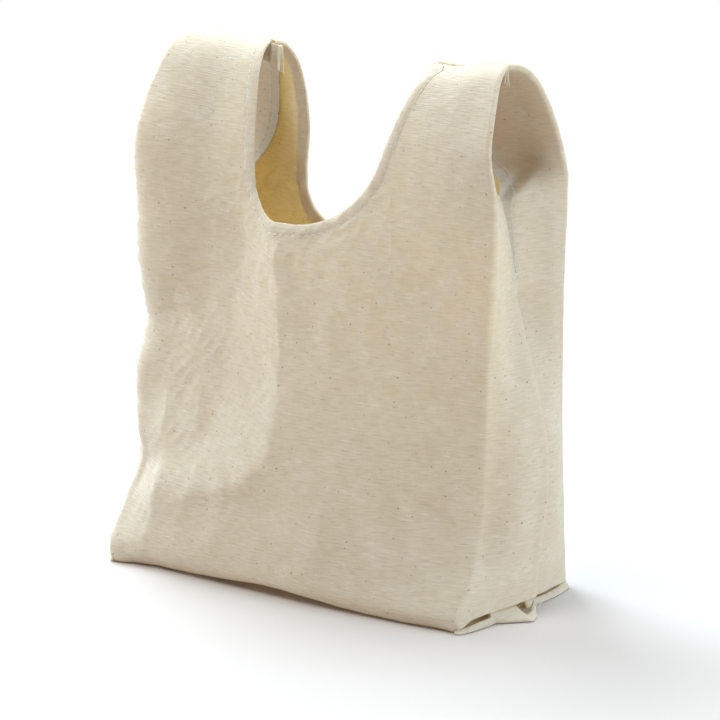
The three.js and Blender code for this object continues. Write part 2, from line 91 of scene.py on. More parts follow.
# How far the cloth stands proud of the plain wall, as (cloth height, distance) stations
FRONT_LEFT_FOLD = [
    (0, 56), (6, 57), (14, 54.8), (21, 48.5), (37, 34.5), (49, 27), (60, 24), (70, 24), (80, 24), (90, 21),
    (98, 17.5), (107, 14.5), (116, 12.5), (126, 11), (134, 8), (141, 4.5), (149, 2), (157, 2.5), (166, 6),
    (180, 8.5), (200, 9), (225, 9.5), (240, 11), (254, 12.5), (268, 12), (280, 8.5), (290, 5), (305, 2),
    (349, 0)]
FRONT_RIGHT_FOLD = [
    (0, 41), (10, 41), (16, 34), (30, 20), (45, 9.5), (62, 3.5), (87, 1.5), (137, 2), (167, 0.5), (210, -2.2),
    (245, -2.5), (262, -1), (282, 1.8), (297, 0), (313, -1.5), (330, -1), (349, 0)]
FRONT_HOLLOW = [
    (0, 50), (10, 53), (22, 51.5), (40, 46), (56, 39), (70, 33), (90, 25), (110, 17.5), (130, 11), (150, 5.5),
    (170, 1.5), (190, -1.5), (210, -2), (227, -0.5), (250, 0), (270, -1), (290, -2.5), (315, -2.5), (349, 0)]
FRONT_BELLY = [
    (0, 50), (10, 53), (22, 52), (45, 47.5), (80, 37.5), (120, 25.5), (160, 16.5), (200, 12), (225, 10),
    (250, 4.5), (270, -0.5), (290, -4), (310, -3.5), (330, -1), (349, 0)]
BACK_FOLD = [(0, 9), (60, 6), (121, 3), (198, 2), (240, 3), (272, 4), (300, 3.5), (325, 3), (349, 0)]
BACK_BELLY = [
    (0, 18), (12, 21), (30, 20.5), (60, 17), (100, 12), (150, 3), (190, -10), (215, -21), (235, -22),
    (260, -16), (290, -9), (320, -3), (349, 0)]
# The rise on the front from hollow to belly: its foot and its crest, as (cloth height, place across) stations
RISE_FOOT = [
    (0, -165), (56, -140), (65, -105), (75, -82), (90, -67), (110, -60), (160, -58), (217, -56), (262, -56)]
RISE_CREST = [
    (0, -90), (30, -90), (48, -70), (56, -44), (62, -28), (70, -14), (80, -5), (92, 1), (107, 2.6), (131, -1),
    (161, -6), (197, -11), (222, -16), (262, -30)]
CREST_HEIGHT = 9
CREST_FALL = 36
# The radius of the front's round left edge, by cloth height
LEFT_ROUND = [
    (0, 4), (40, 5), (55, 8), (70, 12.5), (100, 12), (135, 20), (190, 24), (245, 20), (275, 9), (295, 2.5),
    (349, 1.6)]
# Low down at the left the front turns at a crease, as (cloth height, place across), and its fold comes in
LEFT_CREASE = [(0, -88), (25, -91), (55, -93), (72, -94), (88, -96), (349, -104)]
LEFT_TOE_IN = [
    (0, 19), (14, 16), (21, 14.5), (30, 13), (42, 11), (55, 12), (68, 11.5), (82, 9.5), (96, 5), (112, 0),
    (349, 0)]
RIGHT_TOE_OUT = 8
# The radius of the other folded edges, below and in the handles
FOLD_RADIUS = 3.5
HANDLE_FOLD_RADIUS = 1.6
# A round wider than the tight one moves outwards by a share of the difference
TIGHT_ROUND = 11
ROUND_MOVES_OUT = 0.45
# The facet's turn is done a little before the fold
FACET_LEAD = 1.1
# The neck edges: the height of each face's lowest place and where it lies across
NECK_LOW = {FRONT: NECK_BOTTOM, BACK: 213}
NECK_MIDDLE = {FRONT: -8, BACK: 0}
# For each half of a neck edge its flat run, the radius of its arc and its place across at the handle's top
NECK_HALF = {(FRONT, LEFT): (8, 28, 62), (FRONT, RIGHT): (2, 65, 75),
             (BACK, LEFT): (10, 42, 59), (BACK, RIGHT): (10, 42, 86)}
# The handles' tops slant: their height above the plain arch at the neck, and how much more at the fold
TOP_AT_NECK = {LEFT: 2.5, RIGHT: -2}
TOP_SLANT = {LEFT: 2.5, RIGHT: 6}
# How far up the strap the rows of the neck hem take to turn level
LEVEL_RUN = 30
# Spans over which something comes in, from its start to its end. Backwards, it goes out.
HANDLE_SPAN = (KINK, STRAP_END)
FOLD_TIGHTENS = (205, 285)
FACET_TO_SHOULDER = (75, 110)
SHOULDER_FROM_EDGE = (16, 60)
TOP_SLANT_SPAN = (69, 119)
TOP_LIFT_SPAN = (285, 345)
RIGHT_TURN = (20, 139)
RIGHT_TURN_POWER = 1.8
BACK_LEFT_TURN = (20, 138)
CREST_STARTS, CREST_ENDS = (30, 80), (262, 202)
# A short step along the cloth, for directions
PROBE = 0.5


def smooth(k):
    """An even step from 0 to 1 with flat ends: three k squared less two k cubed."""
    k = np.clip(k, 0, 1)
    return k * k * (3 - 2 * k)


def part_way(at, span):
    """The share of a span that is done: 0 before its start, 1 after its end, even between them."""
    start, end = span
    return np.clip((at - start) / (end - start), 0, 1)


def ramp(at, span):
    """An even step with flat ends over a span."""
    return smooth(part_way(at, span))


def soft_ramp(k):
    """A ramp from 0 to 1 with short rounded ends: the mean of the clipped line over a fifth of its length."""
    spread = np.linspace(-0.1, 0.1, 9)
    return sum(np.clip(k + step, 0, 1) for step in spread) / len(spread)


def curve(stations, at):
    """A smooth curve through (place, value) stations: cubic pieces whose slopes come from the neighbours."""
    place, value = np.array(stations, float).T
    low = np.maximum(np.arange(len(place)) - 1, 0)
    high = np.minimum(np.arange(len(place)) + 1, len(place) - 1)
    slope = (value[high] - value[low]) / (place[high] - place[low])
    i = np.clip(np.searchsorted(place, at) - 1, 0, len(place) - 2)
    span = place[i + 1] - place[i]
    k = np.clip((at - place[i]) / span, 0, 1)
    bend = slope[i] * k * (1 - k) ** 2 - slope[i + 1] * k**2 * (1 - k)
    return value[i] + (value[i + 1] - value[i]) * smooth(k) + span * bend


def unit(vectors):
    """Vectors of length 1 in the same directions."""
    return vectors / np.maximum(np.linalg.norm(vectors, axis=-1, keepdims=True), 1e-9)


def wall(face, t, proud):
    """Depth and height of cloth standing proud of a plain wall at cloth height t. Below the kink the wall is
    upright and t is the height. Above it the wall is a quarter ellipse that ends over the bag's middle."""
    foot = WALL_DEPTH[face]
    reach = abs(MID_DEPTH - foot) - SEAM_GAP / 2
    angle = part_way(t, HANDLE_SPAN) * math.pi / 2
    rise = ARCH_RISE - CLOTH / 2
    out_y, out_z = rise * np.cos(angle), reach * np.sin(angle)
    size = np.hypot(out_y, out_z)
    y = foot + face * (proud * out_y / size - reach * (1 - np.cos(angle)))
    z = np.minimum(t, KINK) + rise * np.sin(angle) + proud * out_z / size
    return y, z


def edge_at(t):
    """Half the width between the folded edges, which come in along the handles."""
    return HALF_WIDTH - STRAP_TAPER * part_way(t, HANDLE_SPAN)


def fold_radius(face, side, t):
    """Radius of the folded edge: wide at the front left, tight elsewhere and tighter up in the handles."""
    if (face, side) == (FRONT, LEFT):
        return curve(LEFT_ROUND, t)
    return FOLD_RADIUS + (HANDLE_FOLD_RADIUS - FOLD_RADIUS) * ramp(t, FOLD_TIGHTENS)


def toe_in(face, side, t):
    """How far a folded edge of the front comes in at its foot: in at the left, a little out at the right."""
    if face == BACK:
        return 0 * t
    return curve(LEFT_TOE_IN, t) if side == LEFT else -RIGHT_TOE_OUT * (1 - smooth(t / FLARE_HEIGHT))


def panel_half(face, side, t):
    """Where the flat of the panel ends and its folded edge begins. A wide round stands out beyond the plain
    edge, which keeps the bag's outline where a tight fold would have it."""
    radius = fold_radius(face, side, t)
    return edge_at(t) - radius + ROUND_MOVES_OUT * np.maximum(radius - TIGHT_ROUND, 0) - toe_in(face, side, t)


def fold_proud(face, side, t):
    """How far a folded edge stands proud of the plain wall."""
    if face == BACK:
        return curve(BACK_FOLD, t)
    return curve(FRONT_LEFT_FOLD if side == LEFT else FRONT_RIGHT_FOLD, t)


def waves(x, t, seed, length, count=9):
    """Soft unevenness of about 1 either way: sine waves of about the given length in seeded directions."""
    rng = np.random.default_rng(seed)
    total = np.zeros(np.broadcast(x, t).shape)
    for _ in range(count):
        heading, phase = rng.uniform(0, 2 * math.pi, 2)
        number = 2 * math.pi / (length * rng.uniform(0.7, 1.5))
        total += np.sin(number * (x * math.cos(heading) + t * math.sin(heading)) + phase)
    return total / math.sqrt(count)


def creases(x, t, seed, length):
    """Crumpled unevenness with sharp crests: the folded-over absolute value of soft waves."""
    return 0.5 - np.abs(waves(x, t, seed, length))


def left_turn(x, t):
    """How far the front has turned to its left fold: 0 on the flat, 1 at the fold. Low down it turns at a
    crease with a flat facet beyond it, higher up over a wide soft shoulder."""
    crease, edge = curve(LEFT_CREASE, t), -panel_half(FRONT, LEFT, t)
    facet = soft_ramp(FACET_LEAD * (crease - x) / (crease - edge))
    shoulder = 1 - ramp(x + HALF_WIDTH, SHOULDER_FROM_EDGE)
    return facet + (shoulder - facet) * ramp(t, FACET_TO_SHOULDER)


def top_lift(x):
    """How far a handle's top stands above the plain arch."""
    outwards = ramp(np.abs(x), TOP_SLANT_SPAN)
    left, right = (TOP_AT_NECK[side] + TOP_SLANT[side] * outwards for side in (LEFT, RIGHT))
    return np.where(x > 0, right, left)


def crumples(face, x, t):
    """Soft waves, creases and fine creases of the front or back. They fade out at the base and the handle's
    top, and are weaker by the folds and in the handles."""
    wave_length, crease_length, fine_length, fine_height = 70, 45, 18, 0.45
    calm_by_fold, calm_in_handle = 0.8, 0.75
    fade = ramp(t, (0, 30)) * ramp(t, (STRAP_END, STRAP_END - 25))
    fade = fade * (1 - calm_by_fold * ramp(np.abs(x), (105, 130)))
    fade = fade * (1 - calm_in_handle * ramp(t, (250, 290)))
    fine = fine_height * creases(x, t, 23 + face, fine_length)
    return fade * (waves(x, t, 3 + face, wave_length) + creases(x, t, 11 + face, crease_length) + fine)


def face_proud(face, x, t):
    """How far the panel or strap stands proud of the plain wall: its folded edges, a hollow and a belly with
    a soft step between them on the front, a belly alone at the back, and crumples."""
    left, right = fold_proud(face, LEFT, t), fold_proud(face, RIGHT, t)
    to_right = part_way(x, RIGHT_TURN) ** RIGHT_TURN_POWER
    if face == FRONT:
        hollow, belly = curve(FRONT_HOLLOW, t), curve(FRONT_BELLY, t)
        foot, top = curve(RISE_FOOT, t), curve(RISE_CREST, t)
        step = soft_ramp((x - foot) / (top - foot))
        fall = np.exp(-np.maximum(x - top, 0) / CREST_FALL)
        crest = CREST_HEIGHT * step * fall * ramp(t, CREST_STARTS) * ramp(t, CREST_ENDS)
        proud = hollow + (belly - hollow) * step + crest
        proud = proud + (left - proud) * left_turn(x, t) + (right - proud) * to_right
    else:
        belly = curve(BACK_BELLY, t)
        proud = belly + (left - belly) * ramp(-x, BACK_LEFT_TURN) + (right - belly) * to_right
    return proud + top_lift(x) * ramp(t, TOP_LIFT_SPAN) + crumples(face, x, t)


def face_point(face, x, t, extra=0.0):
    """A point of the front or back, at x across and cloth height t."""
    y, z = wall(face, t, face_proud(face, x, t) + extra)
    return np.stack(np.broadcast_arrays(x, y, z), -1)


def face_normal(face, x, t):
    """Outward normal of the front or back, from the cross product of two short steps along the cloth."""
    across = face_point(face, x + PROBE, t) - face_point(face, x - PROBE, t)
    up = face_point(face, x, t + PROBE) - face_point(face, x, t - PROBE)
    return unit(np.cross(across, up) * -face)


def neck_sizes(face, side):
    """Flat run, arc radius, arc angle and whole run of half a neck edge: a flat, an arc, then a straight line
    that touches the arc."""
    flat, radius, top = NECK_HALF[face, side]
    out, up = top - side * NECK_MIDDLE[face] - flat, STRAP_END - NECK_LOW[face] - radius
    far = math.hypot(out, up)
    angle = math.atan2(up, out) + math.asin(radius / far)
    return flat, radius, angle, flat + radius * angle + math.sqrt(far**2 - radius**2)


def neck_place(face, side, run, inset):
    """Cloth place (x, t) at a run along half a neck edge from its middle and an inset from the edge. The
    inset goes square to the edge, and turns level up the strap."""
    flat, radius, arc, _ = neck_sizes(face, side)
    angle = np.clip((run - flat) / radius, 0, arc)
    past = np.maximum(run - flat - radius * arc, 0)
    out = np.minimum(run, flat) + radius * np.sin(angle) + past * math.cos(arc)
    t = NECK_LOW[face] + radius * (1 - np.cos(angle)) + past * math.sin(arc)
    lean = angle + (math.pi / 2 - arc) * smooth(past / LEVEL_RUN)
    return NECK_MIDDLE[face] + side * (out + inset * np.sin(lean)), t - inset * np.cos(lean)


def hem_relief(run, inset):
    """The hem's surface: puffed between edge and stitches, drawn in along them and at every stitch hole."""
    height, fullness, groove_width, groove_depth, hole_depth = 0.4, 0.7, 0.9, 0.22, 0.2
    puff = height * np.sin(math.pi * np.clip(inset / NECK_STITCH_INSET, 0, 1)) ** fullness
    beside = np.exp(-(((inset - NECK_STITCH_INSET) / groove_width) ** 2))
    hole = 0.5 + 0.5 * np.cos(2 * math.pi * run / STITCH_PITCH)
    return puff - beside * (groove_depth + hole_depth * hole)


# Gussets and linings
# The free edges above the side seam as (cloth height, distance inwards of the fold, distance behind it): most
# linings, and the one at the back left, which hangs lower and shows as a tongue
LINING_EDGE = [
    (SEAM_TOP, 9, 37.2), (KINK - 8, 22, 32), (KINK + 1, 33, 26), (KINK + 8, 53, 14), (KINK + 22, 57, 12),
    (STRAP_END, 57, 4.5)]
TONGUE_EDGE = [
    (SEAM_TOP, 9, 37.2), (225, 30, 30), (245, 49, 20), (264, 59, 14), (285, 58, 11), (STRAP_END, 58, 4.5)]
# How far a gusset's edge moves inwards and behind: at the crest along the seam, and in the lap above it
CREST_MOVE = {FRONT: (-1.2, 1.2), BACK: (2.4, 1.5)}
LAP_MOVE = {FRONT: (0, 4), BACK: (2, 7)}
LAP_STARTS, LAP_ENDS = (SEAM_TOP - 4, SEAM_TOP + 8), (265, 245)
SEAM_OPENS = (SEAM_TOP + 12, SEAM_TOP)
SHIFT_ENDS = (KINK + 22, KINK)


def seam_depth(t):
    """Depth of the side seam, which moves back from the middle of the base to that of the upper body."""
    return MID_DEPTH * smooth(t / (2 * FLARE_HEIGHT))


def gusset_edge(face, side, t):
    """The sewn or free edge of a half gusset, as distances inwards of and behind the plain folded edge. It
    follows the side seam while sewn, and the lining's free edge above."""
    stations = TONGUE_EDGE if (face, side) == (BACK, LEFT) else LINING_EDGE
    swollen = [(0, -GUSSET_SWELL), (SEAM_TOP / 2, -GUSSET_SWELL)]
    inwards = curve(swollen + [(at, value) for at, value, _ in stations], t)
    sewn = np.abs(seam_depth(t) - WALL_DEPTH[face]) - SEAM_GAP / 2
    free = curve([(at, value) for at, _, value in stations], t)
    return inwards, np.where(t > SEAM_TOP, free, sewn)


def edge_proud(face, side, t):
    """How far the panel stands proud where its folded edge begins, so that the fold carries on from it."""
    return face_proud(face, side * panel_half(face, side, t), t)


def gusset_end(face, side, t):
    """The edge of a half gusset as it really stands. Along the seam the front's edge is a crest that hides
    it, with the back's edge in behind. Just above the seam the front's edge laps over the back's."""
    inwards, depth = gusset_edge(face, side, t)
    shift = edge_proud(face, side, t) * ramp(t, SHIFT_ENDS)
    crest, lap = ramp(t, SEAM_OPENS), ramp(t, LAP_STARTS) * ramp(t, LAP_ENDS)
    (crest_in, crest_behind), (lap_in, lap_behind) = CREST_MOVE[face], LAP_MOVE[face]
    return inwards + crest_in * crest + lap_in * lap, depth + shift + crest_behind * crest + lap_behind * lap


def lining_crease(q, t):
    """The ridge where the upright gusset turns into the lining: the cloth below it rises to a crest, and the
    lining above it falls back sharply and comes out again slowly."""
    at_fold, at_edge = 277, 250
    crest, drop, drop_width = 3, 8, 3.5
    rise, comeback, end = 12, 22, 60
    past = t - (at_fold + (at_edge - at_fold) * q)
    below = crest * np.exp(np.minimum(past, 0) / rise)
    fall = drop * smooth(past / drop_width) * np.exp(-np.maximum(past - drop_width, 0) / comeback)
    return np.where(past < 0, below, (crest - fall) * np.exp(-np.maximum(past, 0) / end))


def gusset_swell(face, side, q, t, past, flat, total):
    """How far a half gusset stands off its plain run: it bows out low down and in higher up, has the lining's
    crease at the right and soft waves, all dying out at the edge, and a groove beside the side seam."""
    bow_out, bow_in, wave_height, wave_length = 5, 1.5, 0.6, 40
    off_fold, crease_off_fold, off_edge = (0, 8), (8, 34), (0, 12)
    groove_depth, groove_width = (1.8, 2.5) if face == FRONT else (7, 13)
    groove_at_floor = 0.4
    run = q * total
    bow = bow_out * ramp(t, (0, 50)) * ramp(t, (150, 90))
    bow = bow - bow_in * ramp(t, (110, 170)) * ramp(t, (SEAM_TOP + 30, SEAM_TOP))
    swell = bow * np.sin(math.pi * np.minimum(past / flat, 1)) ** 2
    if side == RIGHT:
        swell = swell + lining_crease(q, t) * ramp(past, crease_off_fold)
    wave = wave_height * waves(run, t, 31 + 2 * face + side, wave_length)
    swell = swell + wave * ramp(past, off_fold)
    low = groove_at_floor + (1 - groove_at_floor) * ramp(t, (0, 60))
    groove = groove_depth * np.exp(-(total - run) / groove_width) * ramp(t, SEAM_OPENS) * low
    return swell * ramp(total - run, off_edge) - groove


def gusset_point(face, side, q, t):
    """A point of a half gusset or lining at share q of its run: a round fold that carries on from the panel's
    own slope, then a bowed run to its edge. Also gives the distance along the cloth from the fold."""
    radius, half = fold_radius(face, side, t), panel_half(face, side, t)
    start = side * half
    slope = face_proud(face, start, t) - face_proud(face, start - side, t)
    first = np.arctan(-slope)
    inwards, depth = gusset_end(face, side, t)
    centre_out, centre_in = -radius * np.sin(first), radius * np.cos(first)
    to_out, to_in = edge_at(t) - half - inwards - centre_out, depth - centre_in
    flat = np.sqrt(np.maximum(to_out**2 + to_in**2 - radius**2, 1))
    last = np.arctan2(to_in, to_out) + np.arctan2(radius, flat)
    total = radius * (last - first) + flat
    run = q * total
    heading = np.minimum(first + run / radius, last)
    past = np.maximum(run - radius * (last - first), 0)
    stand = radius + gusset_swell(face, side, q, t, past, flat, total)
    out = centre_out + stand * np.sin(heading) + past * np.cos(heading)
    deep = centre_in - stand * np.cos(heading) + past * np.sin(heading)
    y, z = wall(face, t, edge_proud(face, side, t) - deep)
    return np.stack(np.broadcast_arrays(start + side * out, y, z), -1), run


# Grids of cloth places
# Rows of the neck hem: the radius of its turn, the insets inside, the turn's angles and the insets outside
HEM_TURN = 0.8
HEM_INSIDE = np.array([8, 6.8, 5.6, 4.4, 3.2, 2.1, 1.1])
HEM_ROUND = np.linspace(math.pi, 0, 7)
HEM_OUTSIDE = np.array([0.35, 0.8, 1.3, 2, 2.8, 3.6, 4.4, 5, 5.4, 5.7, 6, 6.3, 6.6, 7, 7.6, 8.4, 9.2, 10])
PANEL_ROWS = 90
# How even the panel's rows are: 1 is even, less puts them closer by the hem
PANEL_EVENNESS = 0.55
GUSSET_ROWS = 40
TURN_ROWS = 8
FLOOR_ROWS = 16
BASE_COLUMNS = 60
FAN_COLUMNS = 100
STRAP_COLUMNS = 64
# The part of the neck's arc whose columns go down to the base
FAN_ANGLE = math.radians(40)
# Cloth height at the folded edge above which the columns belong to a strap
SPLIT_FOLD_HEIGHT = 205
# The label of a strap's quads is its side, and that of all others is this
BODY_LABEL = 0
# Heights of the panel's bottom row and of its corners, and the shares across between which it goes down
WALL_START = 10
CORNER_START = 3.5
CORNER_SPAN = (0.85, 1)
# A half gusset's bottom edge above its corner, from the fold (0) to the seam (1), and how far up it counts
FRONT_FOOT = [(0, 0), (0.06, 0), (0.2, 3.3), (0.45, 4.6), (0.8, 5.9), (1, 6.1)]
BACK_FOOT = [(0, 0), (0.06, -0.5), (0.4, 1.5), (0.8, 3.5), (1, 6.1)]
FOOT_ENDS = (CORNER_START + 150, CORNER_START)
# The front's bottom edge is off the floor: its height, its place across, its width, and the share of the way
# to the base seam over which it comes down
BASE_LIFT = 5.5
BASE_LIFT_PLACE = 8
BASE_LIFT_WIDTH = 46
BASE_LIFT_SHARE = 0.35
SHARP_ANGLE = math.radians(55)


def columns(face, side):
    """Runs along the neck edge of the grid's columns, and the outer ends (share across, cloth height) that
    they reach: first along the base, then up the folded edge, then up the handle."""
    flat, radius, arc, whole = neck_sizes(face, side)
    fan_run, arc_end = flat + radius * FAN_ANGLE, flat + radius * arc
    arc_top = neck_place(face, side, arc_end, 0)[1]
    base = np.linspace(0, 1, BASE_COLUMNS + 1)
    fan = np.linspace(0, 1, FAN_COLUMNS + 1)[1:]
    up = np.linspace(0, 1, STRAP_COLUMNS + 1)[1:]
    fan_runs, up_runs = fan_run + (arc_end - fan_run) * fan, arc_end + (whole - arc_end) * up
    run = np.concatenate([fan_run * base, fan_runs, up_runs])
    share = np.concatenate([base, np.ones(FAN_COLUMNS + STRAP_COLUMNS)])
    low = WALL_START + (CORNER_START - WALL_START) * ramp(base, CORNER_SPAN)
    edge = CORNER_START + (arc_top - CORNER_START) * fan
    return run, share, np.concatenate([low, edge, arc_top + (STRAP_END - arc_top) * up])


def face_patch(face, side):
    """Half of the front or back with its turned-in neck hem. Rows go from the raw edge inside, round the neck
    edge and out to the base or the folded edge; columns go along the neck edge."""
    run, share, height = (values[:, None] for values in columns(face, side))
    inset = np.concatenate([HEM_INSIDE, -HEM_TURN * np.sin(HEM_ROUND), HEM_OUTSIDE])[None]
    inner, outer = np.full(len(HEM_INSIDE), 2 * HEM_TURN), np.zeros(len(HEM_OUTSIDE))
    behind = np.concatenate([inner, HEM_TURN * (1 - np.cos(HEM_ROUND)), outer])[None]
    x, t = neck_place(face, side, run, inset)
    outside = (behind == 0) & (inset >= 0)
    hem = face_point(face, x, t, np.where(outside, hem_relief(run, inset), 0))
    hem = hem - face_normal(face, x, t) * behind[..., None]
    unrolled = np.where(behind > 0, -inset - math.pi * HEM_TURN, inset)
    hem_uv = np.stack(neck_place(face, side, run, unrolled), -1)
    k = np.linspace(0, 1, PANEL_ROWS + 1)[None, 1:]
    k = PANEL_EVENNESS * k + (1 - PANEL_EVENNESS) * k**2
    start_x, start_t = neck_place(face, side, run, HEM_OUTSIDE[-1])
    end_x = side * share * panel_half(face, side, height)
    px, pt = start_x + (end_x - start_x) * k, start_t + (height - start_t) * k
    panel, uv = face_point(face, px, pt), np.stack([px, pt], -1)
    return np.concatenate([hem, panel], 1), np.concatenate([hem_uv, uv], 1)


def foot_lift(face, q):
    """How far a half gusset's bottom edge lies above its corner: level by the fold, rising to the seam."""
    return curve(FRONT_FOOT if face == FRONT else BACK_FOOT, q)


def gusset_patch(face, side):
    """A half gusset and the lining above it. Columns go up the folded edge, rows go to the seam."""
    height = columns(face, side)[2][BASE_COLUMNS:, None]
    q = np.linspace(0, 1, GUSSET_ROWS + 1)[None]
    t = height + foot_lift(face, q) * ramp(height, FOOT_ENDS)
    points, along = gusset_point(face, side, q, t)
    return points, np.stack([side * (panel_half(face, side, t) + along), t], -1)


def base_patch(face, side):
    """Half of a base half: a round turn from the foot of the wall to the floor, then flat to the base seam.
    In the middle of the front the turn ends above the floor, and the cloth comes down behind it."""
    share, height = (values[:BASE_COLUMNS + 1, None] for values in columns(face, side)[1:])
    half = panel_half(face, side, height)
    x = share * half
    foot = face_point(face, side * x, height)
    slope = face_point(face, side * x, height + 1) - foot
    heading = np.arctan2(-slope[..., 2], -slope[..., 1] * -face)
    turned = heading * (1 - np.linspace(0, 1, TURN_ROWS + 1)[None, 1:])
    lift = BASE_LIFT * np.exp(-(((side * x - BASE_LIFT_PLACE) / BASE_LIFT_WIDTH) ** 2)) * (face == FRONT)
    radius = (height - CLOTH / 2 - lift) / (1 - np.cos(heading))
    round_y = foot[..., 1] - face * radius * (np.sin(turned) - np.sin(heading))
    round_z = foot[..., 2] - radius * (np.cos(turned) - np.cos(heading))
    flat = np.linspace(0, 1, FLOOR_ROWS + 1)[None, 1:]
    flat_y = round_y[:, -1:] * (1 - flat) + face * SEAM_GAP / 2 * flat
    flat_z = CLOTH / 2 + lift * (1 - smooth(flat / BASE_LIFT_SHARE))
    y, z = np.concatenate([round_y, flat_y], 1), np.concatenate([round_z, flat_z], 1)
    beyond = (HALF_WIDTH + GUSSET_SWELL) / half - 1
    spread = 1 + beyond * np.concatenate([np.zeros((1, TURN_ROWS)), flat], 1)
    points = np.concatenate([foot, np.stack([side * x * spread, y, z], -1)], 1)
    step = np.linalg.norm(np.diff(points, axis=1), axis=-1)
    down = np.concatenate([np.zeros_like(step[:, :1]), np.cumsum(step, 1)], 1)
    return points, np.stack([np.broadcast_to(side * x, down.shape), height - down], -1)


def join(patches):
    """Puts patches (points, uv, label, flipped) together as one set of points, uvs, quads and labels."""
    points, uvs, quads, labels, offset = [], [], [], [], 0
    for grid, uv, label, flipped in patches:
        rows, cols = grid.shape[:2]
        index = offset + np.arange(rows * cols).reshape(rows, cols)
        quad = np.stack([index[:-1, :-1], index[1:, :-1], index[1:, 1:], index[:-1, 1:]], -1).reshape(-1, 4)
        quads.append(quad[:, ::-1] if flipped else quad)
        points.append(grid.reshape(-1, 3))
        uvs.append(uv.reshape(-1, 2))
        labels.append(np.broadcast_to(label, (rows - 1, cols - 1)).ravel())
        offset += rows * cols
    return tuple(np.concatenate(parts) for parts in (points, uvs, quads, labels))


def weld(patches):
    """Joined patches, with the points of shared edges merged."""
    points, uvs, quads, labels = join(patches)
    _, first, back = np.unique(np.round(points, 3) + 0.0, axis=0, return_index=True, return_inverse=True)
    return points[first], uvs[first], back.ravel()[quads], labels


def vertex_normals(points, quads):
    """Area-weighted normals at the points of a quad mesh."""
    corners = points[quads]
    normal = np.cross(corners[:, 2] - corners[:, 0], corners[:, 3] - corners[:, 1])
    total = np.zeros_like(points)
    np.add.at(total, quads.ravel(), np.repeat(normal, 4, axis=0))
    return unit(total)


def mesh_object(name, points, faces, uvs):
    """A smooth-shaded object from points in millimetres, faces and cloth places, which become its UV map."""
    mesh = bpy.data.meshes.new(name)
    mesh.from_pydata((points * MM).tolist(), [], list(faces))
    layer = mesh.uv_layers.new(name="cloth")
    corner = np.zeros(len(mesh.loops), np.int32)
    mesh.loops.foreach_get("vertex_index", corner)
    layer.data.foreach_set("uv", (uvs[corner] * MM).astype(np.float32).ravel())
    mesh.shade_smooth()
    mesh.set_sharp_from_angle(angle=SHARP_ANGLE)
    made = bpy.data.objects.new(name, mesh)
    bpy.context.scene.collection.objects.link(made)
    return made


def slab(name, points, normals, uvs, quads, thickness):
    """A closed mesh of cloth: quads moved out and in by half the thickness, with a rim along open edges."""
    used, quads = np.unique(quads, return_inverse=True)
    quads = quads.reshape(-1, 4)
    points, normals, uvs = points[used], normals[used], uvs[used]
    count = len(points)
    edges = np.stack([quads, np.roll(quads, -1, 1)], -1).reshape(-1, 2)
    _, place, times = np.unique(np.sort(edges, 1), axis=0, return_index=True, return_counts=True)
    a, b = edges[place[times == 1]].T
    rim = np.stack([b, a, a + count, b + count], -1)
    faces = np.concatenate([quads, quads[:, ::-1] + count, rim])
    half = normals * thickness / 2
    both = np.concatenate([points + half, points - half])
    return mesh_object(name, both, faces, np.concatenate([uvs, uvs]))


def grid_slab(name, grids, thickness):
    """Closed slabs of cloth from grids of points, in one mesh, with cloth places from the grids' steps."""
    patches = []
    for grid in grids:
        along = np.linalg.norm(np.diff(grid, axis=0, prepend=grid[:1]), axis=-1).cumsum(0)
        across = np.linalg.norm(np.diff(grid, axis=1, prepend=grid[:, :1]), axis=-1).cumsum(1)
        patches.append((grid, np.stack([along, across], -1), BODY_LABEL, False))
    points, uvs, quads, _ = join(patches)
    return slab(name, points, vertex_normals(points, quads), uvs, quads, thickness)


def face_cloth(face):
    """All cloth of the front or back, split into the body and two straps along one column at each side."""
    patches = []
    for side in SIDE_WORDS:
        outer = columns(face, side)[2][1:]
        in_strap = (np.arange(len(outer)) >= BASE_COLUMNS) & (outer > SPLIT_FOLD_HEIGHT)
        column = np.where(in_strap, side, BODY_LABEL)[:, None]
        flipped = face * side > 0
        panel, panel_uv = face_patch(face, side)
        gusset, gusset_uv = gusset_patch(face, side)
        base, base_uv = base_patch(face, side)
        gusset[:, 0] = panel[BASE_COLUMNS:, -1]
        base[:, 0] = panel[:BASE_COLUMNS + 1, -1]
        patches.append((panel, panel_uv, column, flipped))
        patches.append((gusset, gusset_uv, column[BASE_COLUMNS:], flipped))
        patches.append((base, base_uv, BODY_LABEL, flipped))
    points, uvs, quads, labels = weld(patches)
    normals = vertex_normals(points, quads)
    cloth = slab(f"{FACE_WORDS[face]}_cloth", points, normals, uvs, quads[labels == BODY_LABEL], CLOTH)
    straps = {}
    for side, word in SIDE_WORDS.items():
        name = f"{word}_{FACE_WORDS[face]}_strap_cloth"
        straps[side] = slab(name, points, normals, uvs, quads[labels == side], CLOTH)
    return cloth, straps


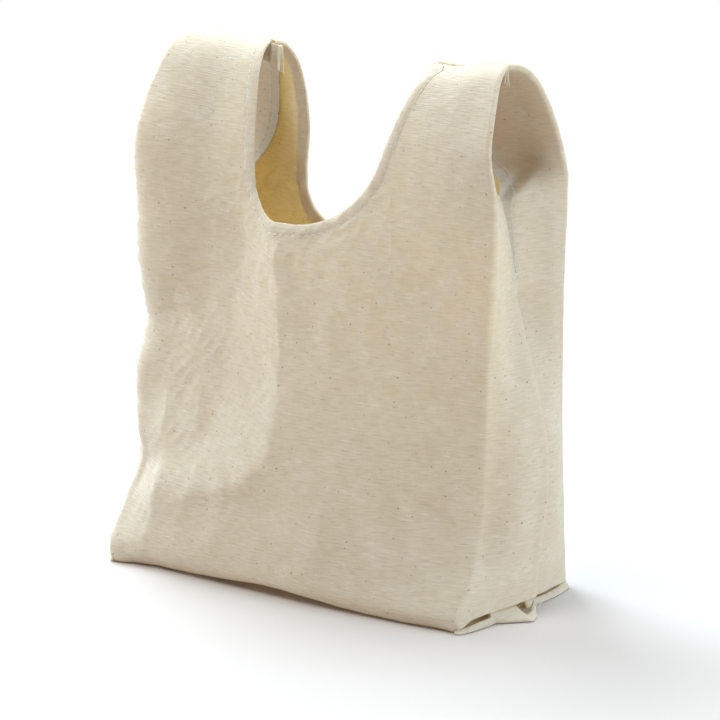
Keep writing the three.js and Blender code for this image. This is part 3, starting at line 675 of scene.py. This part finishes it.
# Stitches
def stitches(name, centres, along, normals, length=STITCH_LENGTH, radius=THREAD_RADIUS):
    """Short stitches as small closed spindles: rings of six points about the stitch's line, thin at both
    ends, which dip into the cloth."""
    place = np.array([-1, -0.75, 0, 0.75, 1])
    girth = np.array([0.25, 0.8, 1, 0.8, 0.25])
    lift = np.array([-0.5, 0.35, 0.8, 0.35, -0.5])
    turn = np.arange(6) * math.pi / 3
    beside = np.cross(along, normals)[:, None, None]
    centres, along, normals = centres[:, None, None], along[:, None, None], normals[:, None, None]
    ring = np.cos(turn)[:, None] * beside + np.sin(turn)[:, None] * normals
    line = centres + along * (place * length / 2)[:, None, None] + normals * (lift * radius)[:, None, None]
    points = line + ring * (girth * radius)[:, None, None]
    index = np.arange(points.size // 3).reshape(points.shape[:3])
    after = np.roll(index, -1, 2)
    quads = np.stack([index[:, :-1], after[:, :-1], after[:, 1:], index[:, 1:]], -1).reshape(-1, 4).tolist()
    caps = index[:, 0, ::-1].tolist() + index[:, -1].tolist()
    flat = points.reshape(-1, 3)
    return mesh_object(name, flat, quads + caps, flat[:, :2])


def spaced(points, normals, pitch):
    """Places every pitch along a line of points, with the line's direction and the normals there."""
    run = np.concatenate([[0], np.linalg.norm(np.diff(points, axis=0), axis=1).cumsum()])

    def at_run(values, at):
        return np.stack([np.interp(at, run, values[:, i]) for i in range(3)], -1)

    at = np.arange(pitch / 2, run[-1], pitch)
    along = unit(at_run(points, at + PROBE) - at_run(points, at - PROBE))
    normal = at_run(normals, at)
    normal = normal - along * (normal * along).sum(1, keepdims=True)
    return at_run(points, at), along, unit(normal)


def neck_stitches(face, side):
    """The stitches of the neck hem on one half of the front or back."""
    below_top, sink = 2, 0.15
    run = np.arange(STITCH_PITCH / 2, neck_sizes(face, side)[3] - below_top, STITCH_PITCH)

    def place(at):
        x, t = neck_place(face, side, at, NECK_STITCH_INSET)
        return face_point(face, x, t), face_normal(face, x, t)

    centres, normals = place(run)
    along = unit(place(run + PROBE)[0] - place(run - PROBE)[0])
    centres = centres + normals * (CLOTH / 2 - sink)
    return stitches(f"{SIDE_WORDS[side]}_{FACE_WORDS[face]}_neck_stitches", centres, along, normals)


def lining_line(face, side, from_edge, t):
    """Points and visible-side normals of a line on the lining, at a distance from its free edge."""
    q = 1 - from_edge / gusset_point(face, side, np.ones_like(t), t)[1]
    point = gusset_point(face, side, q, t)[0]
    up = gusset_point(face, side, q, t + PROBE)[0] - gusset_point(face, side, q, t - PROBE)[0]
    across = point - gusset_point(face, side, q - 0.01, t)[0]
    return point, unit(np.cross(across, up) * -face * side)


def lining_stitches(face, side):
    """The stitches of the lining's hem, from the side seam up to the handle's top."""
    above_seam, below_top, sink = 8, 14, 0.1
    t = np.linspace(SEAM_TOP + above_seam, STRAP_END - below_top, 160)
    points, normals = lining_line(face, side, SIDE_STITCH_INSET, t)
    centres, along, normals = spaced(points, normals, STITCH_PITCH)
    centres = centres + normals * (CLOTH / 2 - sink)
    return stitches(f"{SIDE_WORDS[side]}_{FACE_WORDS[face]}_lining_stitches", centres, along, normals)


def seam_stitches(name, points, towards):
    """A row of stitches along a seam inside the bag, on the side that faces the given direction."""
    normals = np.tile(np.array(towards, float), (len(points), 1))
    return stitches(name, *spaced(points, normals, STITCH_PITCH))


def side_seam_stitches(side):
    """The stitches of a side seam, on the front of its allowance."""
    bottom, below_top, inset, clearance = 22, 4, 6, 0.1
    t = np.linspace(bottom, SEAM_TOP - below_top, 60)
    x = side * (edge_at(t) - gusset_edge(FRONT, side, t)[0] - inset)
    line = np.stack([x, seam_depth(t) - CLOTH - clearance, t], 1)
    return seam_stitches(f"{SIDE_WORDS[side]}_side_seam_stitches", line, (0, -1, 0))


def top_seam_stitches(side):
    """The stitches under a handle's top, on the front of its allowance."""
    off_neck, off_fold, below_top = 6, 3, 4
    x = side * np.linspace(NECK_HALF[BACK, side][2] + off_neck, HALF_WIDTH - STRAP_TAPER - off_fold, 30)
    depth = np.full(len(x), MID_DEPTH - TOP_LAYER_STEP - CLOTH / 2)
    line = np.stack([x, depth, KINK + ARCH_RISE - below_top + top_lift(x)], 1)
    return seam_stitches(f"{SIDE_WORDS[side]}_top_seam_stitches", line, (0, -1, 0))


def base_seam_stitches():
    """The stitches of the base seam, low on its allowance."""
    half_length, depth, height = 132, 0.4, 3.6
    x = np.linspace(-half_length, half_length, 60)
    line = np.stack([x, np.full(len(x), depth), np.full(len(x), height)], 1)
    return seam_stitches("base_seam_stitches", line, (0, -1, 0.3))


def bar_tack(side):
    """The tack across the top of a side seam: one thick stitch from the front's edge to the back gusset."""
    height, start, radius, lift = 206, 1, 0.45, 0.1
    t = np.full(2, height)
    from_edge = np.array([start, start + BAR_TACK_LENGTH])
    q = 1 - from_edge / gusset_point(BACK, side, np.ones(2), t)[1]
    ends = gusset_point(BACK, side, q, t)[0]
    along = unit(ends[1:] - ends[:1])
    normal = np.cross(along, (0, 0, 1.0)) * side
    centre = ends.mean(0) + normal * (CLOTH / 2 + lift)
    return stitches(f"{SIDE_WORDS[side]}_bar_tack_thread", centre, along, normal, BAR_TACK_LENGTH, radius)


# Hems, seam allowances and corner loops
# How far the top seams' allowances stick out at the neck, and the distance between their layers
TOP_ALLOWANCE_OUT = {LEFT: 11, RIGHT: 0}
TOP_LAYER_STEP = 0.9
# Each corner loop's ends along the gusset's foot, and (share along it, reach outwards, rim height) stations
CORNER_LOOPS = [
    (0.003, 0.29, [(0, 0.6, 2.6), (0.3, 2.2, 3.4), (0.7, 1.8, 4.6), (1, -1, 8)]),
    (0.22, 0.498, [(0, -1, 8), (0.5, 12, 8.5), (0.57, 12.5, 3), (0.82, 6.5, 3), (1, -1, 7.5)]),
    (0.503, 0.985, [(0, -1, 6), (0.25, 1, 4.5), (0.65, 4.5, 3), (0.88, 5, 3), (1, 0.5, 4)]),
]
# The left side's loops are tucked in
LOOP_REACH = {LEFT: 0.1, RIGHT: 1.0}
LOOP_COLUMNS = 57
LOOP_ROWS = 49
# Half the share of a loop's section that its rounding is averaged over
LOOP_ROUNDING = 0.04


def lining_hem(face, side):
    """The hem of the lining: a strip turned back behind its free edge."""
    above_seam, below_top, gap = 6, 4, 0.15
    t = np.linspace(SEAM_TOP + above_seam, STRAP_END - below_top, 90)
    rows = []
    for from_edge in (0.4, 3, 6, SIDE_HEM):
        point, normal = lining_line(face, side, from_edge, t)
        rows.append(point - normal * (CLOTH + gap))
    return grid_slab(f"{SIDE_WORDS[side]}_{FACE_WORDS[face]}_lining_hem", [np.stack(rows, 1)], CLOTH)


def side_allowance(side):
    """The seam allowance inside a side seam: two raw edges, which stand inwards together in a slow wave."""
    bottom, below_top, inset, wave_height, wave_length = 20, 2, 1.5, 2, 23
    t = np.linspace(bottom, SEAM_TOP - below_top, 50)[:, None]
    u = np.linspace(0, 1, 6)[None]
    x = side * (edge_at(t) - gusset_edge(FRONT, side, t)[0] - inset - SEAM_ALLOWANCE * u)
    y = seam_depth(t) + wave_height * u * np.sin(t / wave_length)
    grid = np.stack(np.broadcast_arrays(x, y, t), -1)
    return grid_slab(f"{SIDE_WORDS[side]}_side_allowance", [grid], 2 * CLOTH)


def base_allowance():
    """The seam allowance inside the base seam: the two raw edges, leaning over to the back in a slow wave."""
    half_length, lean, foot, rise, turn, wave_height, wave_length = 138, 7, 1.9, 5, 1.3, 0.6, 17
    x = np.linspace(-half_length, half_length, 60)[:, None]
    u = np.linspace(0, 1, 5)[None]
    y = lean * u**turn + wave_height * np.sin(x / wave_length) * u
    z = foot + rise * np.sin(u * turn)
    return grid_slab("base_allowance", [np.stack(np.broadcast_arrays(x, y, z), -1)], 2 * CLOTH)


def top_allowance(side):
    """The seam allowance under a handle's top: raw edges of both straps and their linings, hanging in three
    layers. At the left they stick out at the neck, longer and in pleats that die out along the seam."""
    off_neck, off_fold, below_top = 1, 1.5, 0.4
    bunch_run, bunch_drop, bunch_longer = 18, 3, 0.4
    pleat_height, pleat_pitch, wave_height, wave_length = 2, 6, 0.5, 5.5
    grids = []
    out = TOP_ALLOWANCE_OUT[side]
    low = max(NECK_HALF[face, side][2] for face in FACE_WORDS) + off_neck - out
    x = np.linspace(low, HALF_WIDTH - STRAP_TAPER - off_fold, 90)[:, None]
    u = np.linspace(0, 1, 10)[None]
    bunch = (1 - smooth((x - low) / bunch_run)) * out / TOP_ALLOWANCE
    top = KINK + ARCH_RISE - below_top + top_lift(side * x) - bunch_drop * bunch
    for layer, lean in ((-1, -1.5), (0, 0.4), (1, 2.2)):
        pleat = pleat_height * bunch * np.sin(x * 2 * math.pi / pleat_pitch + 0.4 * layer)
        wave = wave_height * np.sin(x / wave_length + layer)
        y = MID_DEPTH + TOP_LAYER_STEP * layer + lean * u**1.5 + wave * u + pleat * (0.4 + 0.6 * u)
        z = top - (TOP_ALLOWANCE + layer) * (1 + bunch_longer * bunch) * u
        grids.append(np.stack(np.broadcast_arrays(side * x, y, z), -1))
    return grid_slab(f"{SIDE_WORDS[side]}_top_allowance", grids, CLOTH)


def gusset_foot(side, s):
    """A gusset's bottom edge, from the front corner (s is 0) over the seam to the back corner (s is 1)."""
    q = np.minimum(2 * s, 2 - 2 * s)
    front, back = (gusset_point(face, side, q, CORNER_START + foot_lift(face, q))[0] for face in FACE_WORDS)
    return np.where(s[..., None] < 0.5, front, back)


def corner_loop(side, start, end, stations):
    """One loop of cloth below a gusset, with an open pocket: it comes down well behind the gusset's bottom
    edge, runs out low, rises to a rim that lies on the slope from that edge to the floor, comes down to the
    floor and turns under to the base. Each section is a line through guide points (out, up), rounded by
    averaging it over a short way."""
    s = np.linspace(start, end, LOOP_COLUMNS)
    foot = gusset_foot(side, s)
    along = np.gradient(foot[:, :2], axis=0)
    outward = unit(np.stack([along[:, 1], -along[:, 0]], 1) * side)
    share, reach, rim = np.array(stations, float).T
    k = np.linspace(0, 1, LOOP_COLUMNS)
    reach, rim = LOOP_REACH[side] * np.interp(k, share, reach), np.interp(k, share, rim)
    edge, level = foot[:, 2], np.zeros(LOOP_COLUMNS)
    lean = reach * (1 - rim / edge) - 1
    guides = np.array([
        (level - 9, edge + 3), (level - 11, 0.6 * edge), (level - 11, level + 1.5), (lean - 2.5, level + 1.3),
        (lean - 0.9, 0.7 * rim), (lean, rim), ((lean + reach) / 2 + 0.9, rim / 2), (reach + 0.3, level + 0.4),
        (level - 12, level + 0.4)])
    at, knots = np.linspace(0, 1, LOOP_ROWS), np.linspace(0, 1, len(guides))
    near = np.linspace(-LOOP_ROUNDING, LOOP_ROUNDING, 7)
    weight = np.mean([[np.interp(at + step, knots, row) for row in np.eye(len(guides))] for step in near], 0)
    out, up = np.einsum("gr,gdc->dcr", weight, guides)
    place = foot[:, None, :2] + outward[:, None] * out[..., None]
    return np.concatenate([place, np.maximum(up, CLOTH / 2)[..., None]], -1)


def corner_loops(side):
    """Loops at one side: a leaf-shaped one at the front corner, a splayed one by it, a thin one behind."""
    grids = [corner_loop(side, *loop) for loop in CORNER_LOOPS]
    return grid_slab(f"{SIDE_WORDS[side]}_corner_loops", grids, CLOTH)


# Looks
# Share of the light that goes into the cloth's thickness instead of back off its face
SHINE_THROUGH = 0.38
# The canvas's grains: size across and along in millimetres, and detail. Real yarns are about 0.5 mm wide.
# The weave is drawn twice as coarse, so that it still shows in the picture.
GRAINS = {"weft": (9.0, 1.1, 1.5), "warp": (1.0, 7.0, 1.5), "slub": (6.0, 1.2, 0.5), "mottle": (15, 11, 3.0)}
# The weave's threads show the weft with this share of the warp
WARP_SHARE = 0.22
# Distance in millimetres between specks of seed, across and along
SEED_SPACING = (9, 8)


def linear(hex_colour):
    """An sRGB hex colour as linear red, green, blue and alpha."""
    parts = [int(hex_colour[i:i + 2], 16) / 255 for i in (1, 3, 5)]
    return [c / 12.92 if c <= 0.04045 else ((c + 0.055) / 1.055) ** 2.4 for c in parts] + [1.0]


def add_node(tree, kind, inputs=(), **settings):
    """Adds a node with its settings. Each input is (socket, value or the socket that feeds it)."""
    node = tree.nodes.new(kind)
    for name, value in settings.items():
        setattr(node, name, value)
    for socket, value in inputs:
        if isinstance(value, bpy.types.NodeSocket):
            tree.links.new(value, node.inputs[socket])
        else:
            node.inputs[socket].default_value = value
    return node


def new_material(name):
    """An empty node material with its output."""
    material = bpy.data.materials.new(name)
    material.use_nodes = True
    material.node_tree.nodes.clear()
    return material, material.node_tree, material.node_tree.nodes.new("ShaderNodeOutputMaterial")


def unbleached_canvas():
    """Plain-weave cotton canvas as it comes off the loom: cream, matt and fuzzy, with thick and thin places
    in the weft that read as short level streaks, and brown flecks of seed."""
    material, tree, out = new_material("unbleached_canvas")
    place = add_node(tree, "ShaderNodeUVMap", uv_map="cloth").outputs["UV"]
    grain = {}
    for name, (across, along, detail) in GRAINS.items():
        scale = (1 / (across * MM), 1 / (along * MM), 1)
        scaled = add_node(tree, "ShaderNodeMapping", [("Vector", place), ("Scale", scale)]).outputs[0]
        grain[name] = add_node(tree, "ShaderNodeTexNoise", [
            ("Vector", scaled), ("Scale", 1.0), ("Detail", detail)]).outputs["Fac"]
    thread = add_node(tree, "ShaderNodeMix", [
        (0, WARP_SHARE), (2, grain["weft"]), (3, grain["warp"])], data_type="FLOAT").outputs[0]
    scale = (1 / (SEED_SPACING[0] * MM), 1 / (SEED_SPACING[1] * MM), 1)
    spread = add_node(tree, "ShaderNodeMapping", [("Vector", place), ("Scale", scale)]).outputs[0]
    seeds = add_node(tree, "ShaderNodeTexVoronoi", [("Vector", spread), ("Scale", 1.0)],
                     voronoi_dimensions="2D")
    lot = add_node(tree, "ShaderNodeSeparateColor", [(0, seeds.outputs["Color"])]).outputs[0]
    reach = add_node(tree, "ShaderNodeMapRange", [("Value", lot), (1, 0.55), (2, 1.0), (3, 0.0), (4, 0.085)])
    inside = add_node(tree, "ShaderNodeMath", [
        (0, reach.outputs[0]), (1, seeds.outputs["Distance"])], operation="SUBTRACT").outputs[0]
    # Layers over a cream ground: what shows each, from and to which value, its share there, and its colour
    colour = linear("#e1dacb")
    for shown_by, low, high, share_low, share_high, layer in (
            (thread, 0.3, 0.7, 0.0, 1.0, "#f6f2e7"),
            (grain["slub"], 0.64, 0.74, 0.0, 0.6, "#fffdf4"),
            (grain["slub"], 0.26, 0.36, 0.35, 0.0, "#b5ab94"),
            (grain["mottle"], 0.35, 0.7, 0.0, 0.35, "#dfd3b8"),
            (inside, 0.0, 0.02, 0.0, 0.65, "#6d4a2c")):
        share = add_node(tree, "ShaderNodeMapRange", [
            ("Value", shown_by), (1, low), (2, high), (3, share_low), (4, share_high)]).outputs[0]
        colour = add_node(tree, "ShaderNodeMix", [
            (0, share), (6, colour), (7, linear(layer))], data_type="RGBA").outputs[2]
    bump = add_node(tree, "ShaderNodeBump", [("Strength", 0.8), ("Distance", 0.5 * MM), ("Height", thread)])
    shader = add_node(tree, "ShaderNodeBsdfPrincipled", [
        ("Base Color", colour), ("Roughness", 0.9), ("Specular IOR Level", 0.2), ("Sheen Weight", 0.45),
        ("Sheen Roughness", 0.5), ("Normal", bump.outputs[0])])
    glow = add_node(tree, "ShaderNodeBsdfTranslucent", [("Color", linear("#f6dca2"))])
    both = add_node(tree, "ShaderNodeMixShader", [
        (0, SHINE_THROUGH), (1, shader.outputs[0]), (2, glow.outputs[0])])
    tree.links.new(both.outputs[0], out.inputs["Surface"])
    return material


def cotton_thread():
    """Twisted cotton sewing thread: a shade paler than the canvas and a little shiny."""
    material, tree, out = new_material("cotton_thread")
    shader = add_node(tree, "ShaderNodeBsdfPrincipled", [
        ("Base Color", linear("#f3ead6")), ("Roughness", 0.7), ("Sheen Weight", 0.2)])
    tree.links.new(shader.outputs[0], out.inputs["Surface"])
    return material


def white_floor():
    """A white studio floor: it takes the bag's shadow, and further away the camera sees it as plain white."""
    material, tree, out = new_material("white_floor")
    shader = add_node(tree, "ShaderNodeBsdfPrincipled", [
        ("Base Color", linear("#d2c8c4")), ("Roughness", 0.8)])
    place = add_node(tree, "ShaderNodeTexCoord").outputs["Object"]
    away = add_node(tree, "ShaderNodeVectorMath", [(0, place)], operation="LENGTH").outputs["Value"]
    near, far = FLOOR_FADE
    fade = add_node(tree, "ShaderNodeMapRange", [("Value", away), (1, near), (2, far)],
                    interpolation_type="SMOOTHSTEP")
    seen = add_node(tree, "ShaderNodeLightPath").outputs["Is Camera Ray"]
    share = add_node(tree, "ShaderNodeMath", [(0, fade.outputs[0]), (1, seen)], operation="MULTIPLY")
    white = add_node(tree, "ShaderNodeEmission", [("Color", (1, 1, 1, 1)), ("Strength", 1.0)])
    both = add_node(tree, "ShaderNodeMixShader", [
        (0, share.outputs[0]), (1, shader.outputs[0]), (2, white.outputs[0])])
    tree.links.new(both.outputs[0], out.inputs["Surface"])
    return material


# Studio and camera, in metres
FLOOR_HALF = 4
# Distances from the middle at which the floor starts and ends to turn plain white
FLOOR_FADE = (0.26, 0.52)
# A cool daylight white for the lights behind and at the left, and a nearly neutral one for the others
COOL = "#e4f6ff"
PLAIN = "#f1f6f4"
# Each light's name, place, aim, size, watts and colour
LIGHTS = [
    ("key", (-0.8, 0.4, 1.25), (0, 0.05, 0.15), 0.8, 25, COOL),
    ("overhead", (0.1, 0.45, 1.35), (0, 0.05, 0.15), 0.8, 11, COOL),
    ("overhead_front", (-0.3, -0.6, 1.4), (0, 0, 0.15), 0.9, 15, PLAIN),
    ("front_card", (0.3, -2.2, 0.5), (0, 0, 0.15), 1.0, 8, PLAIN),
    ("left_window", (-1.6, -0.3, 0.35), (0, 0, 0.15), 0.6, 11, COOL),
    ("left_back_window", (-1.5, 0.5, 0.4), (0, 0, 0.15), 0.7, 10, COOL),
    ("right_back_window", (1.6, 0.5, 0.4), (0, 0, 0.12), 0.7, 15, COOL),
    ("right_card", (1.7, -0.3, 0.5), (0, 0, 0.12), 0.9, 5, PLAIN),
    ("back_window", (0.1, 1.7, 0.7), (0, 0, 0.15), 1.2, 10, COOL),
]
CAMERA_AZIMUTH = 38.282
CAMERA_ELEVATION = 13.535
CAMERA_DISTANCE = 2.2
CAMERA_LENS = 174.05
SENSOR_WIDTH = 36
CAMERA_AIM = (0.01225, 0.00967, 0.13578)


def area_light(name, place, aim, size, watts, colour):
    """A soft square light at a place, turned towards a point."""
    data = bpy.data.lights.new(name, "AREA")
    data.size, data.energy, data.color = size, watts, linear(colour)[:3]
    light = bpy.data.objects.new(name, data)
    light.location = place
    light.rotation_euler = (Vector(aim) - Vector(place)).to_track_quat("-Z", "Y").to_euler()
    bpy.context.scene.collection.objects.link(light)


def studio():
    """Floor, white surround that only the camera sees, a key light from above behind on the left, and windows
    and cards around the bag."""
    scene = bpy.context.scene
    scene.view_settings.view_transform = "Standard"
    mesh = bpy.data.meshes.new("floor")
    corners = [(x * FLOOR_HALF, y * FLOOR_HALF, 0) for x, y in ((-1, -1), (1, -1), (1, 1), (-1, 1))]
    mesh.from_pydata(corners, [], [(0, 1, 2, 3)])
    floor = bpy.data.objects.new("floor", mesh)
    scene.collection.objects.link(floor)
    mesh.materials.append(white_floor())
    world = bpy.data.worlds.new("surround")
    scene.world = world
    world.use_nodes = True
    tree = world.node_tree
    tree.nodes.clear()
    seen = add_node(tree, "ShaderNodeLightPath").outputs["Is Camera Ray"]
    back = add_node(tree, "ShaderNodeBackground", [("Color", (1, 1, 1, 1)), ("Strength", seen)])
    out = add_node(tree, "ShaderNodeOutputWorld")
    tree.links.new(back.outputs[0], out.inputs["Surface"])
    for light in LIGHTS:
        area_light(*light)


def camera():
    """A long lens at the photograph's viewing angle."""
    a, e = math.radians(CAMERA_AZIMUTH), math.radians(CAMERA_ELEVATION)
    back = Vector((math.sin(a) * math.cos(e), -math.cos(a) * math.cos(e), math.sin(e)))
    data = bpy.data.cameras.new("camera")
    data.lens, data.sensor_width = CAMERA_LENS, SENSOR_WIDTH
    made = bpy.data.objects.new("camera", data)
    made.location = Vector(CAMERA_AIM) + back * CAMERA_DISTANCE
    made.rotation_euler = (-back).to_track_quat("-Z", "Y").to_euler()
    bpy.context.scene.collection.objects.link(made)
    bpy.context.scene.camera = made


def attach(piece, slot, nodes, handle=None, bends=True):
    """Gives a piece its material, hides the solids it stands for, and joins it to the body or its handle.
    With bends set the piece is joined to nothing, and its placement is baked into its points instead."""
    piece.data.materials.append(LOOKS[slot])
    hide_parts(*nodes)
    if handle is None:
        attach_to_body(piece, "body")
    elif bends:
        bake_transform(piece)
    else:
        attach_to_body(piece, handle)


def dress_face(face):
    """The cloth, hems and stitches of the front or back."""
    word = FACE_WORDS[face]
    cloth, straps = face_cloth(face)
    attach(cloth, "canvas", [f"{word}_panel", f"{word}_base_half", f"{word}_neck_hem"])
    for side, strap in straps.items():
        handle = f"{SIDE_WORDS[side]}_handle"
        solid = f"{SIDE_WORDS[side]}_{word}_strap"
        attach(strap, "canvas", [solid, f"{solid}_neck_hem"], handle)
        attach(lining_hem(face, side), "canvas", [f"{solid}_side_hem"], handle)
        attach(lining_stitches(face, side), "thread", [f"{solid}_side_stitching"], handle)
        attach(neck_stitches(face, side), "thread",
               [f"{solid}_neck_stitching", f"{word}_neck_stitching"], handle)


def dress_side(side):
    """The seams, tack and corner loops of one side, and the seam on its handle's top."""
    word = SIDE_WORDS[side]
    attach(side_allowance(side), "canvas", [f"{word}_side_seam_allowance"])
    attach(corner_loops(side), "canvas", [f"{word}_gusset_tuck"])
    attach(top_allowance(side), "canvas", [f"{word}_top_seam_allowance"], f"{word}_handle", bends=False)
    attach(bar_tack(side), "thread", [f"{word}_bar_tack"])
    attach(side_seam_stitches(side), "thread", [f"{word}_side_seam_thread"])
    attach(top_seam_stitches(side), "thread", [f"{word}_top_seam_thread"], f"{word}_handle", bends=False)


def dress():
    """Makes every piece and joins it to the body or a handle, except those set to bend, which are joined to
    nothing.
    """
    for face in FACE_WORDS:
        dress_face(face)
    for side in SIDE_WORDS:
        dress_side(side)
    attach(base_allowance(), "canvas", ["base_seam_allowance"])
    attach(base_seam_stitches(), "thread", ["base_seam_thread"])


LOOKS = {"canvas": unbleached_canvas(), "thread": cotton_thread()}
camera()
studio()
dress()
